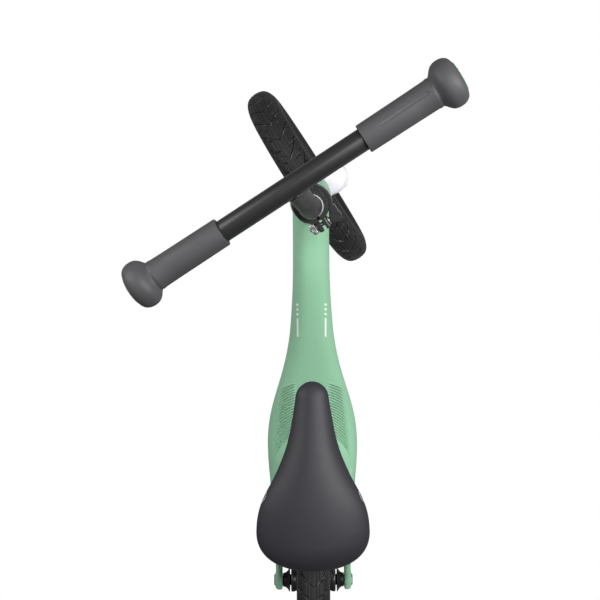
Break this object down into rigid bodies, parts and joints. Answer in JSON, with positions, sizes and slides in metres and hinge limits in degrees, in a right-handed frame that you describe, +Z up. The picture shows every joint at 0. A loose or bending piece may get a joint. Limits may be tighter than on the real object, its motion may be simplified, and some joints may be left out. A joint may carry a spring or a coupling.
{
  "type": "balance bike",
  "caption": "Pedal-less child's bike: cast frame with foot rests, one-armed steering fork, two solid-tyred wheels, clamped T-bar and height-adjustable saddle.",
  "frame": {"origin": "middle of the rear tyre's contact patch on the ground, under the rear axle", "axes": "+Y forward along the bike, +X to the rider's right, +Z up; at rest the bar and the front wheel are turned to the left, as in the picture"},
  "size_m": [0.3825, 0.8627, 0.6202],
  "materials": {
    "mint_paint": "fine satin powder coat",
    "white_paint": "satin",
    "black_coat": "satin powder coat",
    "bright_steel": "turned and polished",
    "grip_rubber": "matt moulded rubber",
    "tyre_rubber": "matt solid rubber",
    "mint_plastic": "satin moulded plastic",
    "dark_plastic": "moulded plastic",
    "saddle_skin": "smooth satin synthetic leather over foam"
  },
  "bodies": {
    "frame": {"frame": "mint_paint", "headset_lower_cup": "black_coat", "headset_upper_cup": "black_coat", "headset_lower_bearing": "bright_steel", "headset_upper_bearing": "bright_steel", "seat_tube_sleeve": "dark_plastic", "seat_clamp_collar": "black_coat", "seat_clamp_washer": "bright_steel", "seat_clamp_bolt": "bright_steel", "rear_axle": "bright_steel", "rear_spacer_left": "dark_plastic", "rear_spacer_right": "dark_plastic", "rear_axle_nut_left": "bright_steel", "rear_axle_nut_right": "bright_steel"},
    "front_fork": {"fork": "white_paint", "steerer_tube": "bright_steel", "crown_race": "bright_steel", "headset_lock_ring": "black_coat", "headset_spacer": "black_coat", "front_axle": "bright_steel", "front_axle_nut_right": "bright_steel", "front_axle_nut_left": "bright_steel", "front_spacer": "dark_plastic", "bar_clamp_collar": "black_coat", "bar_clamp_washer": "bright_steel", "bar_clamp_bolt": "bright_steel"},
    "bar_clamp_lever": {"bar_clamp_lever": "black_coat"},
    "bar_clamp_nut": {"bar_clamp_nut": "bright_steel"},
    "handlebar": {"stem_post": "black_coat", "stem_post_plug": "dark_plastic", "handlebar_tube": "black_coat", "grip_left": "grip_rubber", "grip_right": "grip_rubber", "grip_plug_left": "mint_plastic", "grip_plug_right": "mint_plastic"},
    "front_wheel": {"front_tyre": "tyre_rubber", "front_wheel_casting": "black_coat", "front_bearing_left": "bright_steel", "front_bearing_right": "bright_steel"},
    "rear_wheel": {"rear_tyre": "tyre_rubber", "rear_wheel_casting": "black_coat", "rear_bearing_left": "bright_steel", "rear_bearing_right": "bright_steel"},
    "saddle": {"saddle_cover": "saddle_skin", "saddle_base": "dark_plastic", "seat_post": "bright_steel", "saddle_bolt_front": "bright_steel", "saddle_bolt_rear": "bright_steel"},
    "seat_clamp_lever": {"seat_clamp_lever": "black_coat"},
    "seat_clamp_nut": {"seat_clamp_nut": "bright_steel"}
  },
  "joints": [
    {"name": "steering", "type": "hinge", "parent": "frame", "child": "front_fork", "pos_m": [0, 0.52612, 0.37121], "axis": [0, -0.2672, 0.9636], "continuous": true},
    {"name": "bar_height", "type": "slide", "parent": "front_fork", "child": "handlebar", "axis": [0, -0.2672, 0.9636], "range_m": [-0.008, 0.07]},
    {"name": "bar_clamp_lever_swing", "type": "hinge", "parent": "front_fork", "child": "bar_clamp_lever", "pos_m": [0.02955, 0.48939, 0.45961], "axis": [0, 0.2672, -0.9636], "range_deg": [0, 150]},
    {"name": "bar_clamp_nut_turn", "type": "hinge", "parent": "front_fork", "child": "bar_clamp_nut", "pos_m": [0.00458, 0.47407, 0.45537], "axis": [0.8434, 0.5178, 0.1436], "continuous": true},
    {"name": "front_wheel_spin", "type": "hinge", "parent": "front_fork", "child": "front_wheel", "pos_m": [-0.00376, 0.59594, 0.14152], "axis": [0.8434, 0.5178, 0.1436], "continuous": true},
    {"name": "rear_wheel_spin", "type": "hinge", "parent": "frame", "child": "rear_wheel", "pos_m": [0, 0, 0.14181], "axis": [1, 0, 0], "continuous": true},
    {"name": "saddle_height", "type": "slide", "parent": "frame", "child": "saddle", "axis": [0, -0.2079, 0.9781], "range_m": [-0.025, 0.045]},
    {"name": "seat_clamp_lever_swing", "type": "hinge", "parent": "frame", "child": "seat_clamp_lever", "pos_m": [-0.0186, 0.12868, 0.29307], "axis": [0, -0.2079, 0.9781], "range_deg": [0, 150]},
    {"name": "seat_clamp_nut_turn", "type": "hinge", "parent": "frame", "child": "seat_clamp_nut", "pos_m": [0.011, 0.12868, 0.29307], "axis": [1, 0, 0], "continuous": true}
  ]
}
